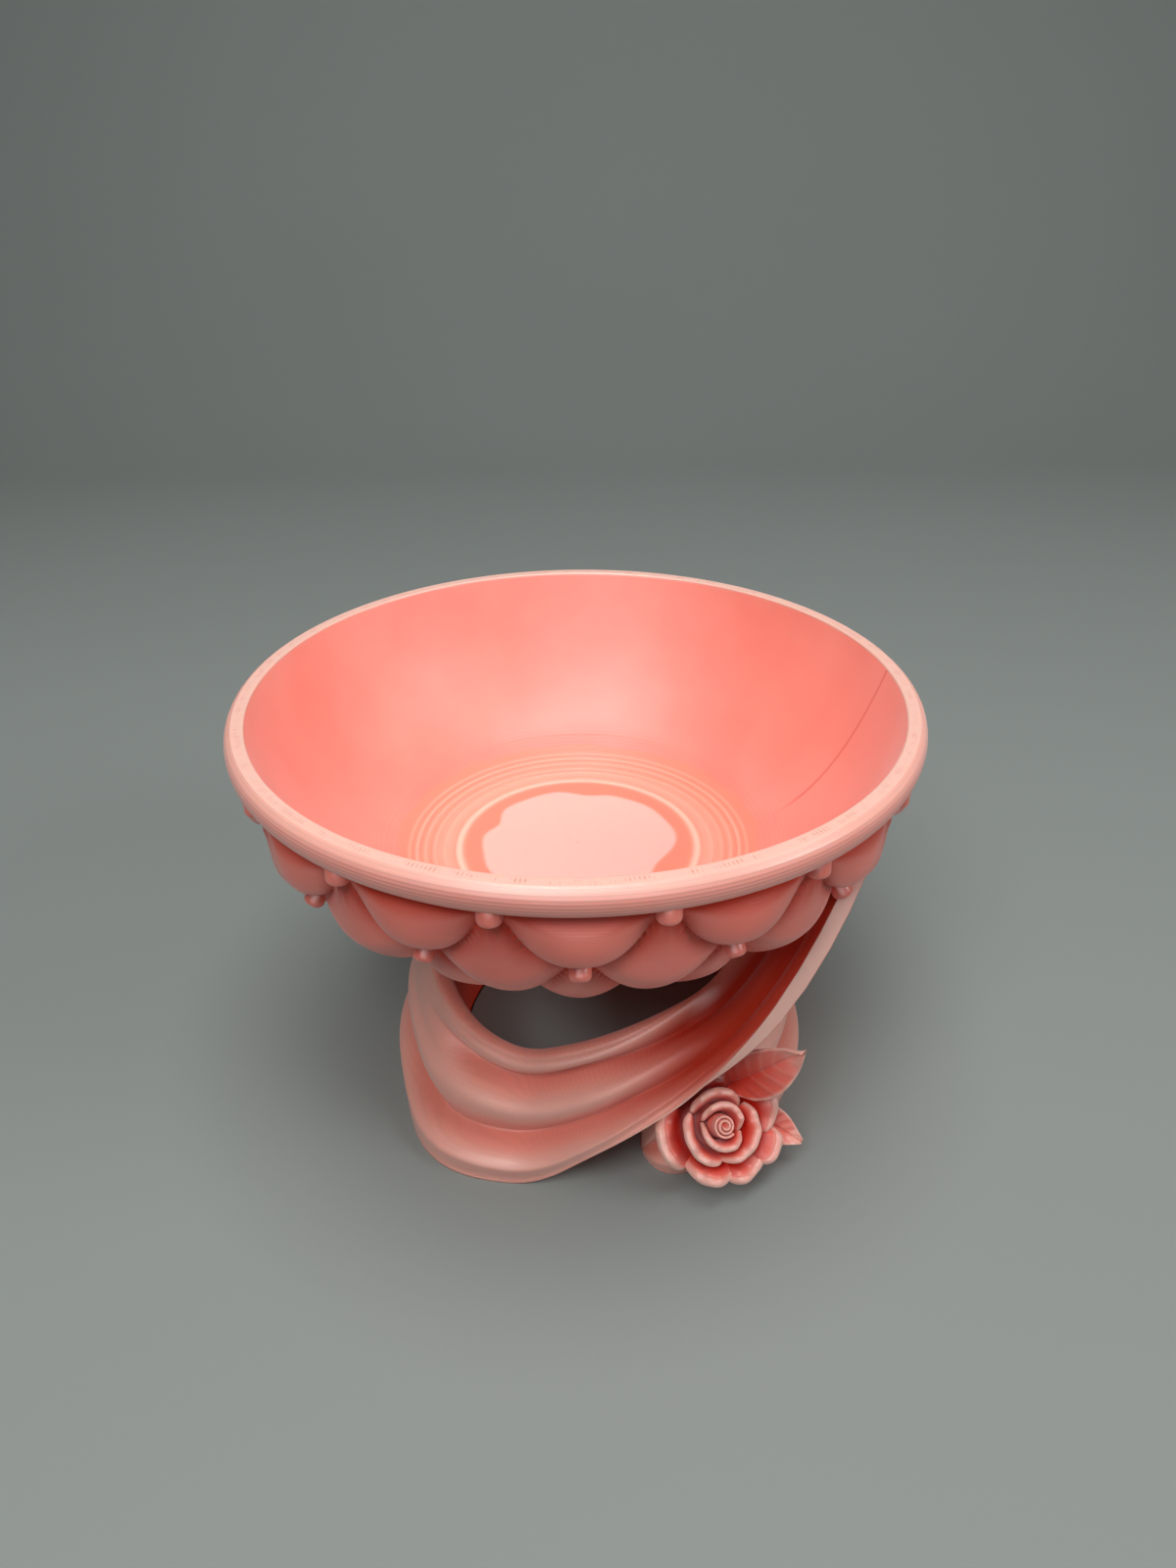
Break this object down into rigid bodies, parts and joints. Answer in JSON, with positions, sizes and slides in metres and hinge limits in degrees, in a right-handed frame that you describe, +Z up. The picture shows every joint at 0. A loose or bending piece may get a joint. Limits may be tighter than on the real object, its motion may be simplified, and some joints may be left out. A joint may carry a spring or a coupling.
{
  "type": "pedestal bowl",
  "caption": "Round open bowl with a rolled rim and a button-tufted outside, raised on draped ribbons that swirl round an open well, with a rose and leaves at the foot.",
  "frame": {"origin": "on the table, under the middle of the bowl", "axes": "+Z up through the middle of the bowl, -Y towards the side with the rose at its right foot"},
  "size_m": [0.2, 0.2, 0.135],
  "materials": {
    "bowl_silk": "silk print plastic, satin gloss, fine flat layer lines",
    "jacket_silk": "silk print plastic, satin gloss, fine flat layer lines",
    "stand_silk": "silk print plastic, satin gloss, fine flat layer lines",
    "rose_silk": "silk print plastic, satin gloss, fine flat layer lines"
  },
  "bodies": {
    "root": {"bowl_liner": "bowl_silk", "rim_bead": "bowl_silk", "quilted_jacket": "jacket_silk", "button_upper_1": "jacket_silk", "button_upper_2": "jacket_silk", "button_upper_3": "jacket_silk", "button_upper_4": "jacket_silk", "button_upper_5": "jacket_silk", "button_upper_6": "jacket_silk", "button_upper_7": "jacket_silk", "button_upper_8": "jacket_silk", "button_upper_9": "jacket_silk", "button_upper_10": "jacket_silk", "button_upper_11": "jacket_silk", "button_upper_12": "jacket_silk", "button_upper_13": "jacket_silk", "button_upper_14": "jacket_silk", "button_upper_15": "jacket_silk", "button_lower_1": "jacket_silk", "button_lower_2": "jacket_silk", "button_lower_3": "jacket_silk", "button_lower_4": "jacket_silk", "button_lower_5": "jacket_silk", "button_lower_6": "jacket_silk", "button_lower_7": "jacket_silk", "button_lower_8": "jacket_silk", "button_lower_9": "jacket_silk", "button_lower_10": "jacket_silk", "button_lower_11": "jacket_silk", "button_lower_12": "jacket_silk", "button_lower_13": "jacket_silk", "button_lower_14": "jacket_silk", "button_lower_15": "jacket_silk", "ribbon_front": "stand_silk", "ribbon_rear": "stand_silk", "rose_calyx": "rose_silk", "rose_bud": "rose_silk", "rose_petal_heart_1": "rose_silk", "rose_petal_heart_2": "rose_silk", "rose_petal_inner_1": "rose_silk", "rose_petal_inner_2": "rose_silk", "rose_petal_inner_3": "rose_silk", "rose_petal_outer_1": "rose_silk", "rose_petal_outer_2": "rose_silk", "rose_petal_outer_3": "rose_silk", "rose_petal_outer_4": "rose_silk", "rose_petal_outer_5": "rose_silk", "rose_petal_outer_6": "rose_silk", "leaf_upper": "rose_silk", "leaf_lower": "rose_silk"}
  },
  "joints": []
}
